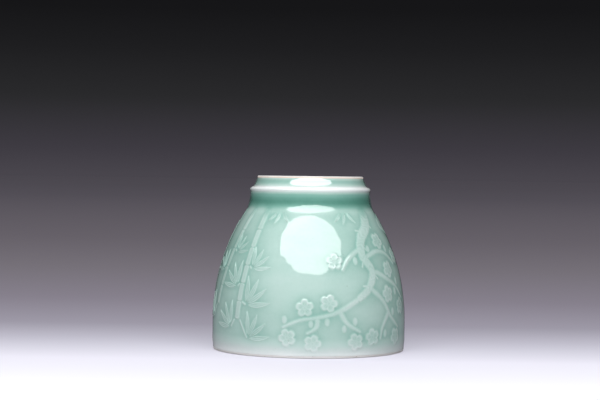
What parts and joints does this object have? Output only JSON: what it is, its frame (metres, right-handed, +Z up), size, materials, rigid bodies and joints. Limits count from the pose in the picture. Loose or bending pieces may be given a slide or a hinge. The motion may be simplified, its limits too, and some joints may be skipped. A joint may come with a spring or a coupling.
{
  "type": "brush pot",
  "caption": "Round celadon pot of cup form with a belly, a stepped foot and raised plum and bamboo relief, set mouth down; on its foot it holds brushes.",
  "frame": {"origin": "centre of the mouth, on the surface that the rim stands on", "axes": "+Z up the pot's axis from the rim to the foot face, -Y out of the side that the picture shows, +X to the right of that side"},
  "size_m": [0.0808, 0.081, 0.072],
  "materials": {
    "porcelain_clay": "bare fired porcelain, fine and matt",
    "celadon_glaze": "thick pale blue-green glaze, glossy",
    "foot_celadon": "blue-green glaze, white where it thins on the ridge, glossy",
    "relief_celadon": "thin pale glaze over raised slip, glossy"
  },
  "bodies": {
    "root": {"bowl": "porcelain_clay", "foot_ring": "porcelain_clay", "outer_glaze": "celadon_glaze", "foot_glaze": "foot_celadon", "inner_glaze": "celadon_glaze", "base_glaze": "celadon_glaze", "trunk_relief": "relief_celadon", "branch_relief": "relief_celadon", "blossom_relief": "relief_celadon", "bud_relief": "relief_celadon", "bamboo_stem_relief": "relief_celadon", "bamboo_leaf_relief": "relief_celadon", "rock_relief": "relief_celadon", "grass_relief": "relief_celadon"}
  },
  "joints": []
}
